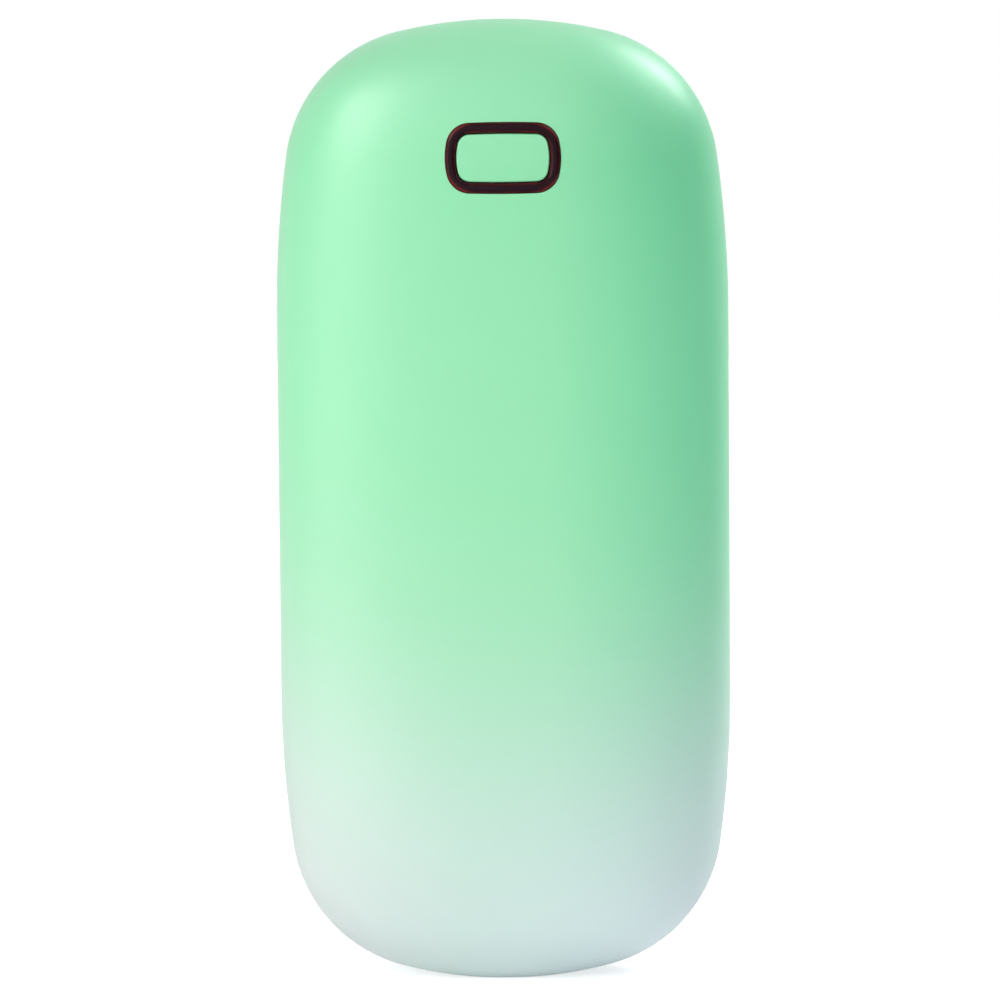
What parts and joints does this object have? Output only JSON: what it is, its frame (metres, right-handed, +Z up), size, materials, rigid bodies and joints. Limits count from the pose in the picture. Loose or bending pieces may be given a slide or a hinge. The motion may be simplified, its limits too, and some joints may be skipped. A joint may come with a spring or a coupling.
{
  "type": "rechargeable hand warmer",
  "caption": "Pebble-shaped rechargeable hand warmer with a flush power button in a smoked light ring, heater plates behind both faces, a pouch battery and a charging socket.",
  "frame": {"origin": "centre of the flat foot at the bottom end, on the surface it stands on", "axes": "+Z up along the length to the button end, -Y out of the face with the button, +X to the right seen from the front"},
  "size_m": [0.049, 0.027, 0.104],
  "materials": {
    "case_paint": "soft-touch satin",
    "smoked_plastic": "polished, translucent",
    "board_laminate": "solder mask",
    "black_plastic": "moulded",
    "bright_metal": "plated",
    "gold_contact": "gold plated",
    "led_resin": "clear resin",
    "ferrite": "pressed ferrite",
    "ceramic": "fired ceramic",
    "pouch_foil": "laminated foil",
    "bonding_sheet": "adhesive tissue",
    "heat_plate": "mill finish",
    "heater_film": "polyimide",
    "sponge": "open cell sponge",
    "sensor_bead": "epoxy",
    "red_wire": "silicone sleeve",
    "black_wire": "silicone sleeve",
    "white_wire": "silicone sleeve"
  },
  "bodies": {
    "case": {"front_shell": "case_paint", "back_shell": "case_paint", "light_ring": "smoked_plastic", "main_board": "board_laminate", "socket_board": "board_laminate", "protection_board": "board_laminate", "switch_base": "black_plastic", "charge_controller": "black_plastic", "heater_mosfets": "black_plastic", "protection_chips": "black_plastic", "usb_tongue": "black_plastic", "cell_frame": "black_plastic", "switch_cover": "bright_metal", "switch_dome": "bright_metal", "switch_terminals": "bright_metal", "usb_shell": "bright_metal", "board_screws": "bright_metal", "positive_tabs": "bright_metal", "negative_tabs": "bright_metal", "usb_contacts": "gold_contact", "status_leds": "led_resin", "power_inductor": "ferrite", "board_capacitors": "ceramic", "front_cell": "pouch_foil", "back_cell": "pouch_foil", "cell_tape": "bonding_sheet", "front_heat_plate": "heat_plate", "back_heat_plate": "heat_plate", "front_heater_film": "heater_film", "back_heater_film": "heater_film", "front_foam_pad": "sponge", "back_foam_pad": "sponge", "front_thermistor": "sensor_bead", "back_thermistor": "sensor_bead", "positive_lead": "red_wire", "charge_leads": "red_wire", "negative_lead": "black_wire", "front_thermistor_leads": "black_wire", "back_thermistor_leads": "black_wire", "front_heater_leads": "white_wire", "back_heater_leads": "white_wire"},
    "button": {"power_button": "case_paint"},
    "plunger": {"switch_plunger": "black_plastic"}
  },
  "joints": [
    {"name": "button_press", "type": "slide", "parent": "case", "child": "button", "axis": [0, 1, 0], "range_m": [0, 0.00025], "stiffness_N_per_m": 600, "springref_m": -0.002},
    {"name": "plunger_press", "type": "slide", "parent": "case", "child": "plunger", "axis": [0, 1, 0], "range_m": [0, 0.0003], "deforming": ["switch_dome"]}
  ],
  "couplings": [
    {"joint": "plunger_press", "follows": "button_press", "ratio": 1}
  ]
}
